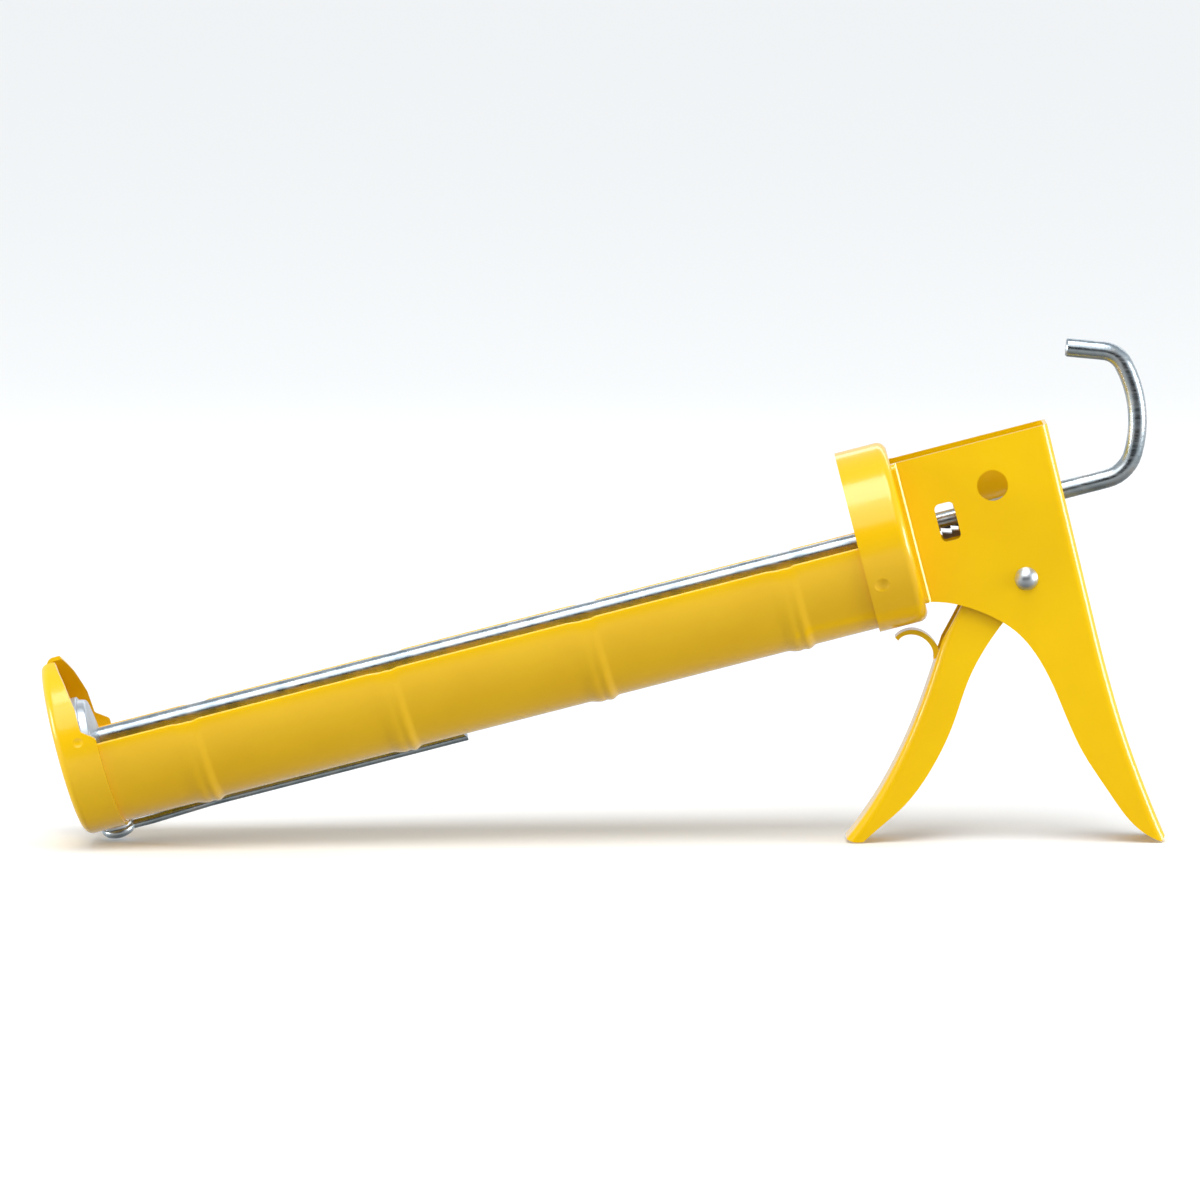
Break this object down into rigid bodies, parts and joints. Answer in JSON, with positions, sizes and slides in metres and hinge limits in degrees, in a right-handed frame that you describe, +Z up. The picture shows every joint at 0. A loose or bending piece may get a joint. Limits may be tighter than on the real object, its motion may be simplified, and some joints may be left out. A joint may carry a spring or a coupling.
{
  "type": "caulking gun",
  "caption": "Half-barrel hand caulking gun: ribbed sheet cradle, slotted front cap, toothed push rod with hook, sheet-metal handle with trigger and pawl, and a swing-out seal punch.",
  "frame": {"origin": "middle of the footprint, on the surface the gun stands on", "axes": "+X along the gun's length from the cap to the hook, +Y across it to the far side, +Z up"},
  "size_m": [0.3552, 0.0584, 0.1591],
  "materials": {
    "barrel_paint": "glossy enamel over pressed steel",
    "handle_paint": "glossy enamel over pressed steel",
    "zinc_plate": "bright zinc plate",
    "spring_steel": "bare drawn wire",
    "hard_steel": "hardened, lightly oiled"
  },
  "bodies": {
    "frame": {"cradle": "barrel_paint", "front_cap": "barrel_paint", "rear_collar": "barrel_paint", "handle_frame": "handle_paint", "trigger_rivet": "zinc_plate", "pivot_sleeve": "zinc_plate", "trigger_spring": "spring_steel", "holding_catch": "hard_steel", "catch_rivet": "handle_paint", "punch_rivet": "zinc_plate", "punch_washer": "zinc_plate"},
    "piston": {"piston_plate": "zinc_plate", "piston_backing": "zinc_plate"},
    "rod": {"push_rod": "zinc_plate", "rod_nut": "zinc_plate"},
    "trigger": {"trigger": "handle_paint", "pawl_pin": "zinc_plate", "pawl_spring": "spring_steel"},
    "pawl": {"drive_pawl": "hard_steel"},
    "punch": {"seal_punch": "zinc_plate"}
  },
  "joints": [
    {"name": "rod_slide", "type": "slide", "parent": "frame", "child": "piston", "axis": [0.9695, 0, 0.2452], "range_m": [0, 0.263]},
    {"name": "rod_turn", "type": "hinge", "parent": "piston", "child": "rod", "pos_m": [-0.1601, 0, 0.03369], "axis": [0.9695, 0, 0.2452], "continuous": true},
    {"name": "trigger_pivot", "type": "hinge", "parent": "frame", "child": "trigger", "pos_m": [0.13376, 0, 0.08392], "axis": [0, -1, 0], "range_deg": [0, 36], "stiffness_Nm_per_rad": 0.3, "springref_deg": -28.65, "deforming": ["trigger_spring"]},
    {"name": "pawl_pivot", "type": "hinge", "parent": "trigger", "child": "pawl", "pos_m": [0.13254, 0, 0.09852], "axis": [0, -1, 0], "range_deg": [-37.5, 0], "deforming": ["pawl_spring"]},
    {"name": "punch_swing", "type": "hinge", "parent": "frame", "child": "punch", "pos_m": [-0.16262, 0, 0.03306], "axis": [0.2368, 0.2588, -0.9364], "continuous": true}
  ],
  "couplings": [
    {"joint": "pawl_pivot", "follows": "trigger_pivot", "ratio": -1.03}
  ]
}
